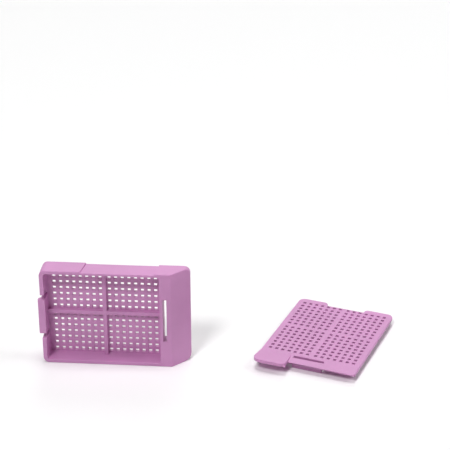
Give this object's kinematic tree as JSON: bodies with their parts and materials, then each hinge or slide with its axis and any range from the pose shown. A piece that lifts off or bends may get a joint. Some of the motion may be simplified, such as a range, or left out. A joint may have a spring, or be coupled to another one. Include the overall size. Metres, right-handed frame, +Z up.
{
  "type": "biopsy tissue cassette",
  "caption": "Open moulded tissue cassette with perforated floor, cross dividers and sloped label face, standing on its long wall, and its perforated lid with thumb tab lying beside it.",
  "frame": {"origin": "centre of the long wall that the base stands on, at table level", "axes": "+X from the hinge end towards the label end of the base, +Y from the open side to the perforated back, +Z up across the base's width"},
  "size_m": [0.0972, 0.0427, 0.0285],
  "materials": {
    "lilac_acetal": "matte moulded acetal, dyed through"
  },
  "bodies": {
    "root": {"cassette_base": "lilac_acetal", "cassette_lid": "lilac_acetal"}
  },
  "joints": []
}
